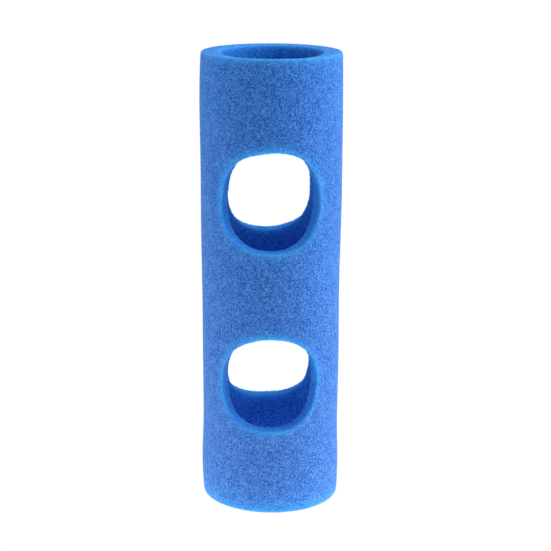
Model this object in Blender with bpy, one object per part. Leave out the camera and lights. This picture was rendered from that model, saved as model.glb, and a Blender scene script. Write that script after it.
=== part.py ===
"""Sponge filter sleeve: one piece of open-cell foam, bored end to end, with two cross holes.

Each hole goes through both walls. Metres, +Z up. The sleeve stands on its lower end, its axis
on +Z, and the cross holes run along Y.
"""

import math

import bmesh
import bpy

# Driving dimensions
SLEEVE_D = 0.044
BORE_D = 0.032
LENGTH = 0.1425
EDGE_ROUND = 0.0007  # softening of the four cut edges of the two ends

LOWER_HOLE_Z = 0.0414
UPPER_HOLE_Z = 0.0986
LOWER_HOLE_HEIGHT = 0.0302  # each height is the same right through the wall
UPPER_HOLE_HEIGHT = 0.0317
HOLE_WIDTH_OUTSIDE = 0.0304  # across, where a hole breaks the outer face
HOLE_WIDTH_INSIDE = 0.0264  # across, where it breaks the bore: the walls draw in
PUNCH_OFFSET = -0.0008  # how far the punch stands off the tube's axis, along X
HOLE_FULLNESS = 2.2  # 2 would make an ellipse, and more fills out its corners

TUBE_STEPS = 96
HOLE_STEPS = 60
ROUND_STEPS = 2
CUTTER_OVERRUN = 0.006

OUTER_R = SLEEVE_D / 2
BORE_R = BORE_D / 2


def clear_scene():
    for obj in list(bpy.data.objects):
        bpy.data.objects.remove(obj, do_unlink=True)


def foam_material():
    material = bpy.data.materials.new("blue_foam")
    material.use_nodes = True
    shader = material.node_tree.nodes["Principled BSDF"]
    shader.inputs["Base Color"].default_value = (0.045, 0.17, 0.58, 1.0)
    shader.inputs["Roughness"].default_value = 0.95
    return material


def link_mesh(name, bm, material=None):
    bmesh.ops.recalc_face_normals(bm, faces=bm.faces)
    mesh = bpy.data.meshes.new(name)
    bm.to_mesh(mesh)
    bm.free()
    obj = bpy.data.objects.new(name, mesh)
    bpy.context.scene.collection.objects.link(obj)
    if material:
        mesh.materials.append(material)
    return obj


def loft(rings, joined_ends):
    """Closed surface through rings of equal length. Joined ends make a hoop, and open ends are capped."""
    bm = bmesh.new()
    made = [[bm.verts.new(point) for point in ring] for ring in rings]
    pairs = list(zip(made, made[1:]))
    if joined_ends:
        pairs.append((made[-1], made[0]))
    else:
        bm.faces.new(made[0])
        bm.faces.new(reversed(made[-1]))
    for one, two in pairs:
        for k in range(len(one)):
            after = (k + 1) % len(one)
            bm.faces.new((one[k], one[after], two[after], two[k]))
    return bm


def corner(centre_r, centre_z, first_turn):
    """Quarter round of the wall's section, as (radius, height) pairs."""
    points = []
    for k in range(ROUND_STEPS + 1):
        turn = first_turn + math.pi / 2 * k / ROUND_STEPS
        points.append(
            (
                centre_r + EDGE_ROUND * math.cos(turn),
                centre_z + EDGE_ROUND * math.sin(turn),
            )
        )
    return points


def wall_section():
    """The wall cut lengthwise: straight faces, with each end's two edges eased."""
    outer, inner = OUTER_R - EDGE_ROUND, BORE_R + EDGE_ROUND
    low, high = EDGE_ROUND, LENGTH - EDGE_ROUND
    return (
        corner(outer, low, -math.pi / 2)
        + corner(outer, high, 0)
        + corner(inner, high, math.pi / 2)
        + corner(inner, low, math.pi)
    )


def make_sleeve(material):
    rings = []
    for radius, height in wall_section():
        ring = []
        for k in range(TUBE_STEPS):
            turn = 2 * math.pi * k / TUBE_STEPS
            ring.append((radius * math.cos(turn), radius * math.sin(turn), height))
        rings.append(ring)
    return link_mesh("foam_sleeve", loft(rings, joined_ends=True), material)


def half_width_at(depth):
    """Half the hole's width at this distance from the sleeve's axis, along the hole."""
    outside, inside = HOLE_WIDTH_OUTSIDE / 2, HOLE_WIDTH_INSIDE / 2
    outer_depth = math.sqrt(OUTER_R**2 - outside**2)
    inner_depth = math.sqrt(BORE_R**2 - inside**2)
    draw = (outside - inside) / (outer_depth - inner_depth)
    return inside + draw * (depth - inner_depth)


def hole_outline():
    """The punch's outline at half size 1, as (across, up) pairs: an ellipse with fuller corners."""
    power = 2 / HOLE_FULLNESS
    points = []
    for k in range(HOLE_STEPS):
        turn = 2 * math.pi * (k + 0.5) / HOLE_STEPS
        across, up = math.cos(turn), math.sin(turn)
        points.append((math.copysign(abs(across) ** power, across), math.copysign(abs(up) ** power, up)))
    return points


def make_hole_cutter(name, middle, height):
    """One punch right through both walls, drawn in towards the middle as the squeezed tube leaves it."""
    reach = OUTER_R + CUTTER_OVERRUN
    rings = []
    for along in (-reach, 0.0, reach):
        half_width = half_width_at(abs(along))
        ring = []
        for across, up in hole_outline():
            ring.append((PUNCH_OFFSET + half_width * across, along, middle + height / 2 * up))
        rings.append(ring)
    cutter = link_mesh(name, loft(rings, joined_ends=False))
    cutter.hide_render = True
    cutter.display_type = "WIRE"
    return cutter


def cut(target, cutter):
    modifier = target.modifiers.new(cutter.name, "BOOLEAN")
    modifier.operation = "DIFFERENCE"
    modifier.solver = "EXACT"
    modifier.object = cutter


def smooth_round_faces(obj):
    bpy.context.view_layer.objects.active = obj
    obj.select_set(True)
    bpy.ops.object.shade_smooth()
    obj.data.set_sharp_from_angle(angle=math.radians(40))


clear_scene()
sleeve = make_sleeve(foam_material())
smooth_round_faces(sleeve)
cut(sleeve, make_hole_cutter("lower_hole", LOWER_HOLE_Z, LOWER_HOLE_HEIGHT))
cut(sleeve, make_hole_cutter("upper_hole", UPPER_HOLE_Z, UPPER_HOLE_HEIGHT))
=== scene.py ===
import math

import bmesh
import bpy
import numpy as np
from mathutils import Matrix, Vector


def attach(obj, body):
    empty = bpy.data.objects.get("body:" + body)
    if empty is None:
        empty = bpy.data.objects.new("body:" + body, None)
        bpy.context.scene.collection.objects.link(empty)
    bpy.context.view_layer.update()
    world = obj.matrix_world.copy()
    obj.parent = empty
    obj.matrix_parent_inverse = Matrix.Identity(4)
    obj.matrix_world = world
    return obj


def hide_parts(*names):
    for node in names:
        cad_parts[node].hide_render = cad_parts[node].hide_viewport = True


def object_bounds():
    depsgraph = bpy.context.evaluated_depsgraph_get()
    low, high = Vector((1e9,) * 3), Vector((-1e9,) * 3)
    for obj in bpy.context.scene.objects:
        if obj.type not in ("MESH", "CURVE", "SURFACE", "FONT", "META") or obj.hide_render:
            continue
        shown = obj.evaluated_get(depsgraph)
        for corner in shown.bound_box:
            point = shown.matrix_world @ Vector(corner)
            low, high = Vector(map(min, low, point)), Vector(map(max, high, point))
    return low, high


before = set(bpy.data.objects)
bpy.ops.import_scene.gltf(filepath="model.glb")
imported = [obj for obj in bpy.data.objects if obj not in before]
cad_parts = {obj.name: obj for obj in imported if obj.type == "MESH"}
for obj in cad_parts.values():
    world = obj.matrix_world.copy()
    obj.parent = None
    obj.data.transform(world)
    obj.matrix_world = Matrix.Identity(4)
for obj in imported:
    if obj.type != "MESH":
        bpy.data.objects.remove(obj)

cad_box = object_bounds()

# ---------------------------------------------------------------------------------------------
# The foam sleeve: one length of blue open-cell foam, bored end to end, with two cross holes
# punched through both walls. It is cut, not moulded, so every face shows broken cells. The punch
# squeezed the tube, which has stayed a little narrow toward its lower end.
# ---------------------------------------------------------------------------------------------

SLEEVE_HEIGHT = round(cad_box[1][2], 5)  # the frame gives the length and the outer size
OUTER_R = round(cad_box[1][0], 5)
BORE_R = 0.0160

PUNCH_OFFSET = -0.0008  # the cross holes stand this far off the axis, along X
HOLES = ((0.0414, 0.0151), (0.0986, 0.01585))  # height of each hole's middle, and half its height
HOLE_OUTER_HALF = 0.0152  # half a hole's width where it meets the outer face
HOLE_INNER_HALF = 0.0132  # and where it meets the bore
HOLE_OUTER_REACH = math.sqrt(OUTER_R**2 - HOLE_OUTER_HALF**2)
HOLE_INNER_REACH = math.sqrt(BORE_R**2 - HOLE_INNER_HALF**2)
HOLE_DRAW = (HOLE_OUTER_HALF - HOLE_INNER_HALF) / (HOLE_OUTER_REACH - HOLE_INNER_REACH)


def off_hole_wall(x, y, z, hole):
    """How far each point stands off the wall of a cross hole, on either side of the sleeve."""
    middle, half_height = hole
    half_width = HOLE_INNER_HALF + HOLE_DRAW * (np.abs(y) - HOLE_INNER_REACH)
    around = np.hypot((x - PUNCH_OFFSET) / half_width, (z - middle) / half_height)
    return np.abs(around - 1) * half_height


SKIN_STEP = 0.00024  # spacing of the points that carry the grain
CUT_EASING = 11  # passes that soften the cut edges to about half a millimetre


def sleeve_blank():
    """The cut sleeve without its grain: an even skin of points over the solid, edges eased."""
    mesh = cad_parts["foam_sleeve"].data.copy()
    bm = bmesh.new()
    bm.from_mesh(mesh)
    bmesh.ops.remove_doubles(bm, verts=bm.verts, dist=1e-6)
    bm.to_mesh(mesh)
    bm.free()
    blank = bpy.data.objects.new("foam_sponge", mesh)
    bpy.context.scene.collection.objects.link(blank)
    skin = blank.modifiers.new("even_skin", "REMESH")
    skin.mode = "VOXEL"
    skin.voxel_size = SKIN_STEP
    skin.use_smooth_shade = True
    ease = blank.modifiers.new("eased_cuts", "SMOOTH")
    ease.factor = 0.5
    ease.iterations = CUT_EASING
    return blank


def settle(obj):
    """Turns an object's modifiers into plain mesh."""
    graph = bpy.context.evaluated_depsgraph_get()
    mesh = bpy.data.meshes.new_from_object(obj.evaluated_get(graph))
    obj.modifiers.clear()
    old = obj.data
    obj.data = mesh
    bpy.data.meshes.remove(old)


STATIONS = np.linspace(0, SLEEVE_HEIGHT, 5)  # from the lower end to the upper
SWELL = (-0.00058, -0.00045, -0.00022, 0.00012, -0.00027)  # of the outer face, at each station
LEAN = (0.00022, 0.00000, 0.00012, -0.00005, 0.00003)  # sideways, at each station
UNEVENNESS = (
    # lobes round the tube, waves along it, size in metres, phase
    (1, 1.3, 0.00006, 0.4),
    (2, 0.7, 0.00008, 2.1),
    (3, 2.1, 0.00008, 4.4),
    (2, 3.3, 0.00006, 1.2),
)

FOOT_BULGE = 0.00030  # the foot stands a little proud here
FOOT_HEIGHT = 0.0120
FOOT_SPREAD = 0.0080
FOOT_TUCK = 0.00015  # and its last edge turns in
TUCK_SPREAD = 0.0022
FOOT_FORWARD = 0.0009  # the foot is slightly oval, and its front stands this far forward
DISH = 0.0009  # the coring tube drew the upper end's inner lip down by this much at the front
DISH_DEPTH = 0.0040  # how far down the bore that is felt

# how far each mouth was pulled out (+) or in (-) when the punch came through, at its upper left,
# upper right, lower left and lower right corners and at its bottom, seen from the front
CORNER_ANGLES = (135, 45, 225, 315, 270)
MOUTH_CORNERS = {
    (0, "front"): (-0.00055, -0.00015, 0.0, 0.0, -0.0001),
    (0, "back"): (0.0, 0.0, 0.00045, -0.00020, 0.0),
    (1, "front"): (-0.00070, 0.00025, 0.0, 0.0, -0.0005),
    (1, "back"): (0.0, 0.0, -0.00010, -0.00055, 0.0),
}
CORNER_POWER = 4  # the higher, the closer a pull keeps to its corner
MOUTH_REACH = 0.0035  # how far the pull is felt round a mouth
TORN_EDGE = (
    # lobes round the mouth, size in metres, phase
    (5, 0.00008, 0.3),
    (11, 0.00004, 1.9),
    (23, 0.00002, 4.0),
    (47, 0.00003, 2.6),
)
NEXT_HOLE = 2.0  # the torn edge's phase moves on by this from hole to hole, and by 1 to the back


def along_stations(values, heights):
    """A smooth curve through the value at each station."""
    return np.polyval(np.polyfit(STATIONS, values, len(values) - 1), heights)


def mouth_pull(points):
    """How far the foam round each mouth has moved from the mouth's middle, as a step in X and Z."""
    x, y, z = points.T
    step = np.zeros((len(x), 3))
    for (number, side), corners in MOUTH_CORNERS.items():
        hole = HOLES[number]
        turn = np.arctan2(z - hole[0], x - PUNCH_OFFSET)
        pull = np.zeros(len(x))
        for angle, size in zip(CORNER_ANGLES, corners):
            pull += size * np.clip(np.cos(turn - math.radians(angle)), 0, 1) ** CORNER_POWER
        for lobes, size, phase in TORN_EDGE:
            pull += size * np.sin(lobes * turn + phase + NEXT_HOLE * number + (y > 0))
        this_side = y < 0 if side == "front" else y >= 0
        felt = np.exp(-((off_hole_wall(x, y, z, hole) / MOUTH_REACH) ** 2)) * this_side
        step[:, 0] += pull * felt * np.cos(turn)
        step[:, 2] += pull * felt * np.sin(turn)
    return step


def settled_shape(points):
    """The shape the foam has taken: the bore keeps its size, and the outer face swells and leans."""
    x, y, z = points.T
    radius = np.maximum(np.hypot(x, y), 1e-9)
    outward = np.clip((radius - BORE_R) / (OUTER_R - BORE_R), 0.0, 1.0)
    turn = np.arctan2(y, x)
    swell = along_stations(SWELL, z)
    swell += FOOT_BULGE * np.exp(-(((z - FOOT_HEIGHT) / FOOT_SPREAD) ** 2))
    swell -= FOOT_TUCK * np.exp(-((z / TUCK_SPREAD) ** 2))
    for lobes, waves, size, phase in UNEVENNESS:
        swell += size * np.sin(lobes * turn + 2 * math.pi * waves * z / SLEEVE_HEIGHT + phase)
    width = 1.0 + outward * swell / radius
    forward = FOOT_FORWARD * np.clip(-y / OUTER_R, 0, 1) ** 2 * np.exp(-z / FOOT_SPREAD)
    drawn = (1.0 - outward) * np.clip(-y / BORE_R, 0, 1) * np.exp(-(SLEEVE_HEIGHT - z) / DISH_DEPTH)
    moved = [x * width + along_stations(LEAN, z), y * width - forward, z - DISH * drawn]
    return np.column_stack(moved) + mouth_pull(points)


MAP_WIDE = 0.250  # the flat map of the skin, in metres
MAP_HIGH = 0.215
OUTER_LONG = 0.1413  # the way round the outer face and the end rings on the map
BORE_LONG = 0.1005
HOLE_LONG = 0.1000
MAP_PATCHES = (
    # left, low and length of the outer face, the bore, the upper end ring and the lower one,
    (0.001, 0.0015, OUTER_LONG),
    (0.1465, 0.0015, BORE_LONG),
    (0.001, 0.1470, OUTER_LONG),
    (0.001, 0.1560, OUTER_LONG),
    # and of the lower hole's front and back walls and the upper hole's
    (0.001, 0.1650, HOLE_LONG),
    (0.001, 0.1780, HOLE_LONG),
    (0.001, 0.1910, HOLE_LONG),
    (0.001, 0.2040, HOLE_LONG),
)


def nearest_patch(x, y, z):
    """The number of the map's patch that each face belongs to, from the face's middle."""
    radius = np.hypot(x, y)
    gaps = [np.abs(OUTER_R - radius), np.abs(radius - BORE_R), np.abs(SLEEVE_HEIGHT - z), np.abs(z)]
    far_off = 1.0
    for hole in HOLES:
        gap = off_hole_wall(x, y, z, hole)
        gaps.append(np.where(y < 0, gap, far_off))
        gaps.append(np.where(y >= 0, gap, far_off))
    return np.argmin(gaps, axis=0)


def lay_out_map(mesh, rest):
    """A flat map of the whole skin. The way round a patch runs along the map, and the way across it, up."""
    vertex = np.empty(len(mesh.loops), np.int32)
    mesh.loops.foreach_get("vertex_index", vertex)
    corners = rest[vertex]
    sides = np.empty(len(mesh.polygons), np.int32)
    mesh.polygons.foreach_get("loop_total", sides)
    face = np.repeat(np.arange(len(sides)), sides)
    middles = [np.bincount(face, corners[:, axis]) / sides for axis in range(3)]
    patch = nearest_patch(*middles)[face]

    x, y, z = corners.T
    round_tube = np.arctan2(y, -x)
    in_wall = np.hypot(x, y) - BORE_R
    unrolled = [(round_tube, z), (round_tube, z), (round_tube, in_wall), (round_tube, in_wall)]
    for middle, _ in HOLES:
        round_hole = np.arctan2(x - PUNCH_OFFSET, z - middle)
        unrolled += 2 * [(round_hole, np.abs(y) - HOLE_INNER_REACH)]

    u = np.zeros(len(x))
    v = np.zeros(len(x))
    for number, ((left, low, long), (angle, depth)) in enumerate(zip(MAP_PATCHES, unrolled)):
        mine = patch == number
        share = angle / (2 * math.pi) + 0.5
        here = np.where(mine, share, 0.5)
        most = np.full(len(sides), -1.0)
        np.maximum.at(most, face, here)
        least = np.full(len(sides), 2.0)
        np.minimum.at(least, face, here)
        over_seam = (most - least > 0.5)[face]
        share = np.where(over_seam & (share < 0.5), share + 1.0, share)
        u = np.where(mine, left + share * long, u)
        v = np.where(mine, low + depth, v)
    layer = mesh.uv_layers.new(name="OFBake")
    layer.data.foreach_set("uv", np.column_stack([u / MAP_WIDE, v / MAP_HIGH]).ravel().astype(np.float32))


RIM_HIGHLIGHT_FADE = 0.0008  # how far the painted highlight on a cut rim reaches
LIP_FADE = 0.0012  # how far the glow of a lip reaches
FOOT_FADE = 0.0032  # and it is wider round the foot, which is lit from the table
LIP_GLOW_REST = 0.30
LIP_GLOW_BACK = 0.55
LIP_GLOW_FOOT = 0.80
LIP_BACK_SHARE = 0.35  # the light gets further in at the back, where the bright wall is
FACE_REACH = 0.0006  # the outer face's painted sheen and the bore's painted shade are gone this far into the foam
FACE_EASE = 0.0004  # and fades over this
LESS_SHEEN = 0.40  # this much less painted sheen at the upper end
BORE_SHADE_DEEPENS = 0.020  # the bore's painted shade is full this far down
BORE_SHADE_LEAST = 0.1  # and this share of it at the top


def rim_highlight_share(x, y, z):
    """1 on the rims where two cut faces meet, which carry a painted highlight, fading within a couple of
    millimetres.
    """
    radius = np.hypot(x, y)
    side = np.minimum(np.abs(OUTER_R - radius), np.abs(radius - BORE_R))
    end = np.minimum(np.abs(SLEEVE_HEIGHT - z), np.abs(z))
    wall = np.minimum(*(off_hole_wall(x, y, z, hole) for hole in HOLES))
    nearest = np.sort(np.column_stack([side, end, wall]), axis=1)
    return np.exp(-np.hypot(nearest[:, 0], nearest[:, 1]) / RIM_HIGHLIGHT_FADE)


def bore_shade_share(x, y, z):
    """1 down in the bore, where the foam was cored out: its darker blue there is painted shade, less near
    the top, which the light reaches.
    """
    below_top = np.clip((SLEEVE_HEIGHT - z) / BORE_SHADE_DEEPENS, BORE_SHADE_LEAST, 1.0)
    return below_top * np.clip(((BORE_R + FACE_REACH) - np.hypot(x, y)) / FACE_EASE, 0.0, 1.0)


def lip_glow_share(x, y, z):
    """A painted glow, standing in for light through the thin lips: most of all the upper lips of the holes,
    lit up off the table.
    """
    radius = np.hypot(x, y)
    out = np.abs(OUTER_R - radius)
    side = np.minimum(out, np.abs(radius - BORE_R))
    end = np.minimum(np.abs(SLEEVE_HEIGHT - z), np.abs(z))
    top = LIP_GLOW_REST * np.clip(-y / OUTER_R, 0, 1) * np.exp(-np.hypot(side, end) / LIP_FADE)
    foot = LIP_GLOW_FOOT * np.exp(-np.hypot(out, end) / FOOT_FADE)
    share = np.where(z < SLEEVE_HEIGHT / 2, foot, top)
    least = np.where(y > 0, LIP_GLOW_BACK, LIP_GLOW_REST)
    depth = np.where(y > 0, out * LIP_BACK_SHARE, out)
    for hole in HOLES:
        middle, half_height = hole
        lift = np.clip((z - middle) / half_height, 0, 1)
        fade = np.exp(-np.hypot(depth, off_hole_wall(x, y, z, hole)) / LIP_FADE)
        share = np.maximum(share, (least + (1 - least) * lift) * fade)
    return share


def outer_sheen_share(x, y, z):
    """1 on the tube's outer face, whose paler colour is painted sheen, less toward its upper end, away from
    the lit table, and 0 on every cut face.
    """
    skin = np.clip((np.hypot(x, y) - (OUTER_R - FACE_REACH)) / FACE_EASE, 0.0, 1.0)
    return skin * (1.0 - LESS_SHEEN * z / SLEEVE_HEIGHT)


def fill_ramp(ramp, stops):
    while len(ramp.elements) < len(stops):
        ramp.elements.new(0.5)
    for element, (place, colour) in zip(ramp.elements, stops):
        element.position = place
        element.color = colour


class Socket:
    """A node's socket that takes part in sums, so that maths in a tree reads as maths."""

    def __init__(self, tree, socket=None):
        self.tree = tree
        self.socket = socket

    def node(self, kind, settings=None, out=0, **inputs):
        """Adds any other node and gives its output. An input has its name, or _ and its number."""
        made = self.tree.nodes.new(kind)
        for name, value in (settings or {}).items():
            if name == "stops":
                fill_ramp(made.color_ramp, value)
            else:
                setattr(made, name, value)
        for name, value in inputs.items():
            place = made.inputs[int(name[1:]) if name[0] == "_" else name.replace("_", " ")]
            if isinstance(value, Socket):
                self.tree.links.new(value.socket, place)
            else:
                place.default_value = value
        return Socket(self.tree, made.outputs[out])

    def maths(self, operation, *values):
        inputs = {f"_{place}": value for place, value in enumerate(values)}
        return self.node("ShaderNodeMath", {"operation": operation}, **inputs)

    def vector(self, operation, **inputs):
        return self.node("ShaderNodeVectorMath", {"operation": operation}, **inputs)

    def __add__(self, other):
        return self.maths("ADD", self, other)

    def __radd__(self, other):
        return self.maths("ADD", other, self)

    def __sub__(self, other):
        return self.maths("SUBTRACT", self, other)

    def __rsub__(self, other):
        return self.maths("SUBTRACT", other, self)

    def __mul__(self, other):
        return self.maths("MULTIPLY", self, other)

    def __rmul__(self, other):
        return self.maths("MULTIPLY", other, self)

    def __truediv__(self, other):
        return self.maths("DIVIDE", self, other)

    def __rtruediv__(self, other):
        return self.maths("DIVIDE", other, self)


CELL = 0.00070  # one foam cell, about 36 to the inch
PORE_DEPTH = 0.00020
STRUT = 0.16  # half a strut's width, as a share of the cell
DRIFT = 0.5  # how far the cells wander out of step, in cells
WANDER = 0.45  # and how quickly that changes from cell to cell
STRUT_CREST = 0.2  # a strut is flat up to this share of its half width
STRUT_BASE = 2.2  # and slopes down into the cell as far as this
SHALLOWEST = 0.5  # the least a cell sinks, as a share of the pore depth
PROUD = 0.4  # how far the struts stand above the skin, as the same share


def grain_tree():
    """Breaks a smooth skin into foam cells: struts stand proud, and each cell sinks by its own amount."""
    tree = bpy.data.node_groups.new("foam_grain", "GeometryNodeTree")
    face = tree.interface
    face.new_socket("Geometry", in_out="INPUT", socket_type="NodeSocketGeometry")
    for name in ("Cell", "Pore Depth", "Strut", "Drift"):
        face.new_socket(name, in_out="INPUT", socket_type="NodeSocketFloat")
    face.new_socket("Foam", in_out="INPUT", socket_type="NodeSocketMaterial")
    face.new_socket("Geometry", in_out="OUTPUT", socket_type="NodeSocketGeometry")
    entry = tree.nodes.new("NodeGroupInput")
    given = {socket.name: Socket(tree, socket) for socket in entry.outputs if socket.name}
    cell, strut = given["Cell"], given["Strut"]

    rest = cell.node("GeometryNodeInputNamedAttribute", {"data_type": "FLOAT_VECTOR"}, Name="rest")
    in_step = cell.vector("SCALE", Vector=rest, Scale=1 / cell)
    noise = cell.node("ShaderNodeTexNoise", {}, "Color", Vector=in_step, Scale=WANDER, Detail=1.0)
    both_ways = cell.vector("SUBTRACT", _0=noise, _1=(0.5, 0.5, 0.5))
    drift = cell.vector("SCALE", Vector=both_ways, Scale=given["Drift"])
    place = cell.vector("ADD", _0=in_step, _1=drift)

    cells = {"Vector": place, "Scale": 1.0, "Randomness": 1.0}
    edge = cell.node("ShaderNodeTexVoronoi", {"feature": "DISTANCE_TO_EDGE"}, "Distance", **cells)
    colour = cell.node("ShaderNodeTexVoronoi", {"feature": "F1"}, "Color", **cells)
    tone = cell.node("FunctionNodeSeparateColor", Color=colour)
    slope = cell.node(
        "ShaderNodeMapRange",
        {"interpolation_type": "SMOOTHSTEP"},
        Value=edge,
        From_Min=strut * STRUT_CREST,
        From_Max=strut * STRUT_BASE,
    )
    pore = slope * (tone * (1 - SHALLOWEST) + SHALLOWEST)

    normal = cell.node("GeometryNodeInputNormal")
    sink = cell.vector("SCALE", Vector=normal, Scale=(PROUD - pore) * given["Pore Depth"])
    noted = cell.node(
        "GeometryNodeStoreNamedAttribute",
        {"data_type": "FLOAT", "domain": "POINT"},
        Geometry=given["Geometry"],
        Name="pore",
        Value=pore,
    )
    sunk = cell.node("GeometryNodeSetPosition", Geometry=noted, Offset=sink)
    real = cell.node("GeometryNodeRealizeInstances", Geometry=sunk)
    clad = cell.node("GeometryNodeSetMaterial", Geometry=real, Material=given["Foam"])
    leave = tree.nodes.new("NodeGroupOutput")
    tree.links.new(clad.socket, leave.inputs[0])
    return tree


# strut and cell colours: the outer face's paler pair is painted sheen from the lamps and the lit table,
# which the cut faces are not given
# in each pair the darker cell colour is partly painted shade down in the cells and the paler strut colour
# partly painted glints, over the foam's own uneven tone
OUTER_SHEEN_STRUT = (0.130, 0.328, 0.850, 1.0)
OUTER_SHEEN_CELL = (0.003, 0.086, 0.490, 1.0)
CUT_STRUT = (0.040, 0.340, 0.980, 1.0)
CUT_CELL = (0.002, 0.105, 0.600, 1.0)
# the bore's darker pair is painted shade down the bore
BORE_SHADED_STRUT = (0.040, 0.260, 0.870, 1.0)
BORE_SHADED_CELL = (0.002, 0.073, 0.480, 1.0)
# painted highlight: the paler cyan blue of a cut rim
RIM_HIGHLIGHT_BLUE = (0.070, 0.430, 0.960, 1.0)
RIM_HIGHLIGHT_SHARE = 0.65  # of that painted highlight on a cut rim
# painted glow of the lips, which are no lamp
EDGE_GLOW = (0.0, 0.200, 0.440, 1.0)
NO_GLOW = (0.0, 0.0, 0.0, 1.0)

FINE_GRAIN = 1900.0  # the scales of the two noises that lie over the cells
BROAD_GRAIN = 330.0
PORE_MEAN = 0.42
PORE_SHARE = 0.55  # how much the cells (painted shade), the fine and the broad grain each darken the foam
FINE_SHARE = 2.5
BROAD_SHARE = 0.6
DEPTH_EASE = 0.7  # below 1, fewer and paler struts on a deeper ground


def noted_share(tree, name):
    """What was noted under this name at each point of the sleeve."""
    return Socket(tree).node("ShaderNodeAttribute", {"attribute_name": name}, "Fac")


def blend(share, one, two):
    settings = {"data_type": "RGBA", "clamp_factor": True}
    return share.node("ShaderNodeMix", settings, 2, _0=share, _6=one, _7=two)


def foam_material():
    """Blue polyurethane foam: struts painted pale where they catch the light, cells painted deep blue where
    shade falls in them.
    """
    material = bpy.data.materials.new("blue_foam")
    material.use_nodes = True
    tree = material.node_tree
    shader = tree.nodes["Principled BSDF"]

    pore = noted_share(tree, "pore")
    grain = {"Vector": pore.node("ShaderNodeTexCoord", {}, "Object"), "Roughness": 0.6}
    fine = pore.node("ShaderNodeTexNoise", {}, "Fac", Scale=FINE_GRAIN, Detail=1.0, **grain)
    broad = pore.node("ShaderNodeTexNoise", {}, "Fac", Scale=BROAD_GRAIN, Detail=2.0, **grain)
    # the cells' share is painted shade; the fine and broad noise are the foam's own uneven tone
    depth = 0.5 + (pore - PORE_MEAN) * PORE_SHARE + (fine - 0.5) * FINE_SHARE + (broad - 0.5) * BROAD_SHARE
    shade = pore.maths("POWER", pore.maths("MAXIMUM", depth, 0.0), DEPTH_EASE)

    cut_colour = blend(shade, CUT_STRUT, CUT_CELL)
    sheened = blend(shade, OUTER_SHEEN_STRUT, OUTER_SHEEN_CELL)
    deep = blend(shade, BORE_SHADED_STRUT, BORE_SHADED_CELL)
    # painted shade down the bore, over the cut faces' colour
    cut_faces = blend(noted_share(tree, "bore_face"), cut_colour, deep)
    # painted sheen over the outer face
    faces = blend(noted_share(tree, "outer_face"), cut_faces, sheened)
    # painted highlight on the cut rims
    colour = blend(noted_share(tree, "cut_edge") * RIM_HIGHLIGHT_SHARE, faces, RIM_HIGHLIGHT_BLUE)
    # painted glow on the lips
    glow = blend(noted_share(tree, "lip_glow"), NO_GLOW, EDGE_GLOW)
    tree.links.new(colour.socket, shader.inputs["Base Color"])
    tree.links.new(glow.socket, shader.inputs["Emission Color"])
    shader.inputs["Emission Strength"].default_value = 1.0
    shader.inputs["Roughness"].default_value = 0.95
    shader.inputs["Specular IOR Level"].default_value = 0.2
    shader.inputs["Sheen Weight"].default_value = 0.22
    shader.inputs["Sheen Roughness"].default_value = 0.5
    shader.inputs["Sheen Tint"].default_value = (0.50, 0.88, 0.90, 1.0)
    return material


NOTED = {
    "cut_edge": rim_highlight_share,
    "bore_face": bore_shade_share,
    "lip_glow": lip_glow_share,
    "outer_face": outer_sheen_share,
}

sponge = sleeve_blank()
settle(sponge)
sleeve = sponge.data
points = np.empty(len(sleeve.vertices) * 3, np.float32)
sleeve.vertices.foreach_get("co", points)
rest = points.reshape(-1, 3).astype(float)
sleeve.attributes.new("rest", "FLOAT_VECTOR", "POINT").data.foreach_set("vector", points)
for name, share_at in NOTED.items():
    note = sleeve.attributes.new(name, "FLOAT", "POINT")
    note.data.foreach_set("value", share_at(*rest.T).astype(np.float32))
sleeve.vertices.foreach_set("co", settled_shape(rest).ravel().astype(np.float32))
lay_out_map(sleeve, rest)

foam_grain = grain_tree()
grain = sponge.modifiers.new("foam_grain", "NODES")
grain.node_group = foam_grain
sizes = {"Cell": CELL, "Pore Depth": PORE_DEPTH, "Strut": STRUT, "Drift": DRIFT, "Foam": foam_material()}
for item in foam_grain.interface.items_tree:
    if item.in_out == "INPUT" and item.name in sizes:
        grain[item.identifier] = sizes[item.name]
settle(sponge)
sponge.data.attributes.remove(sponge.data.attributes["rest"])
sponge.data.shade_smooth()

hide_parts("foam_sleeve")
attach(sponge, "root")

# ---------------------------------------------------------------------------------------------
# The studio: a white table inside white walls, with a round lamp below the place where the
# sleeve stands, and soft boxes beside and above it. The right and the upper one are strongest.
# ---------------------------------------------------------------------------------------------

FLOOR_SIZE = 8.0
WALL_HEIGHT = 5.0
TABLE_GLOW = 1.01

scene = bpy.context.scene
scene.view_settings.view_transform = "Standard"

half = FLOOR_SIZE / 2
outline = [(-half, -half), (half, -half), (half, half), (-half, half)]
floor_corners = [(x, y, z) for z in (0, WALL_HEIGHT) for x, y in outline]
walls = [(k, k + 4, (k + 1) % 4 + 4, (k + 1) % 4) for k in range(4)]
floor_mesh = bpy.data.meshes.new("floor")
floor_mesh.from_pydata(floor_corners, [], [(0, 1, 2, 3), *walls])
floor = bpy.data.objects.new("floor", floor_mesh)
scene.collection.objects.link(floor)
white_table = bpy.data.materials.new("white_table")
white_table.use_nodes = True
table_shader = white_table.node_tree.nodes["Principled BSDF"]
table_shader.inputs["Base Color"].default_value = (0, 0, 0, 1)
table_shader.inputs["Specular IOR Level"].default_value = 0.0
table_shader.inputs["Emission Color"].default_value = (1, 1, 1, 1)
table_shader.inputs["Emission Strength"].default_value = TABLE_GLOW
floor_mesh.materials.append(white_table)
floor.visible_diffuse = False
floor.visible_glossy = False
floor.visible_shadow = False

DIM = (0.30, 0.30, 0.30, 1.0)
BRIGHT = (1.0, 1.0, 1.0, 1.0)
DARK = (0.0, 0.0, 0.0, 1.0)
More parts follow.
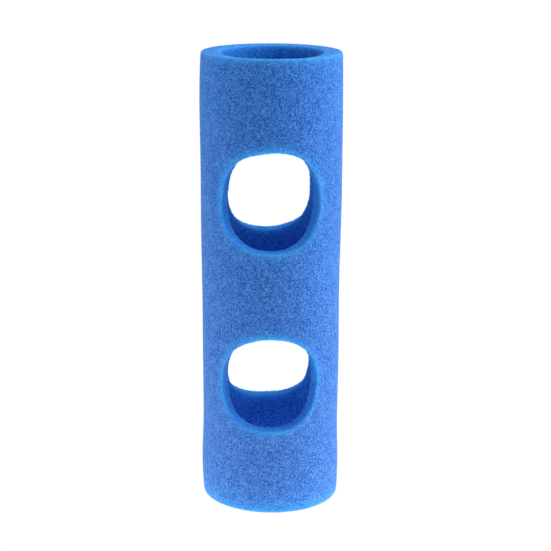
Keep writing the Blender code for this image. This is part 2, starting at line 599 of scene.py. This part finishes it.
# from straight down, 0, through the horizon, 0.5, to straight up, 1
SKY_STOPS = ((0.0, DIM), (0.495, DIM), (0.5, BRIGHT), (0.55, BRIGHT), (0.62, DARK), (1.0, DARK))

surround = bpy.data.worlds.new("surround")
surround.use_nodes = True
sky_tree = surround.node_tree
background = sky_tree.nodes["Background"]
facing = Socket(sky_tree).node("ShaderNodeTexCoord", {}, "Generated")
height = facing.node("ShaderNodeSeparateXYZ", {}, "Z", Vector=facing)
sky = height.node("ShaderNodeValToRGB", {"stops": SKY_STOPS}, "Color", Fac=height * 0.5 + 0.5)
sky_tree.links.new(sky.socket, background.inputs["Color"])
background.inputs["Strength"].default_value = 1.0
scene.world = surround

SOFT_BOXES = {
    # azimuth from the front round to the right, elevation, distance, width, height, watts
    "right_front": (50, 14, 0.7, 0.40, 0.40, 0.90),
    "right": (90, 18, 0.6, 0.45, 0.45, 3.05),
    "left": (270, -5, 0.5, 0.45, 0.45, 1.12),
    "left_front": (315, 10, 0.7, 0.40, 0.40, 0.32),
    "overhead": (0, 88, 0.7, 0.40, 0.40, 3.30),
}
UNDER_WIDE = 0.30  # the round lamp below the table
UNDER_DEPTH = 0.004
UNDER_WATTS = 0.213
AIM = Vector((0, 0, 0.07))


def soft_box(name, place, size, watts, shape="RECTANGLE"):
    data = bpy.data.lights.new(name, "AREA")
    data.shape = shape
    data.size, data.size_y = size
    data.energy = watts
    lamp = bpy.data.objects.new(name, data)
    scene.collection.objects.link(lamp)
    lamp.location = place
    lamp.rotation_euler = (AIM - place).to_track_quat("-Z", "Y").to_euler()
    lamp.visible_camera = False


for name, (azimuth, elevation, distance, wide, high, watts) in SOFT_BOXES.items():
    turn, lift = math.radians(azimuth), math.radians(elevation)
    way = Vector((math.sin(turn) * math.cos(lift), -math.cos(turn) * math.cos(lift), math.sin(lift)))
    soft_box(name, AIM + distance * way, (wide, high), watts)
soft_box("under", Vector((0, 0, -UNDER_DEPTH)), (UNDER_WIDE, UNDER_WIDE), UNDER_WATTS, "DISK")

# ---------------------------------------------------------------------------------------------
# The camera: a long lens half a metre off, a little above the sleeve's top and looking down.
# ---------------------------------------------------------------------------------------------

STAND_OFF = 0.51275
EYE_HEIGHT = 0.19992
ROUND_TO_LEFT = math.radians(1.106)
HEADING = math.radians(1.274)
LOOK_DOWN = math.radians(14.057)
ROLL = math.radians(0.319)
LENS = 109.08
SENSOR_WIDTH = 36.0
FARTHEST_SEEN = 20.0

level = math.cos(LOOK_DOWN)
ahead = Vector((math.sin(HEADING) * level, math.cos(HEADING) * level, -math.sin(LOOK_DOWN)))
level_right = Vector((math.cos(HEADING), -math.sin(HEADING), 0))
level_up = level_right.cross(ahead)
right = math.cos(ROLL) * level_right + math.sin(ROLL) * level_up
up = math.cos(ROLL) * level_up - math.sin(ROLL) * level_right
camera = bpy.data.objects.new("camera", bpy.data.cameras.new("camera"))
scene.collection.objects.link(camera)
camera.data.lens = LENS
camera.data.sensor_width = SENSOR_WIDTH
camera.data.clip_end = FARTHEST_SEEN
eye = Vector((-STAND_OFF * math.sin(ROUND_TO_LEFT), -STAND_OFF * math.cos(ROUND_TO_LEFT), EYE_HEIGHT))
turned = Matrix((right, up, -ahead)).transposed().to_4x4()
camera.matrix_world = Matrix.Translation(eye) @ turned
scene.camera = camera
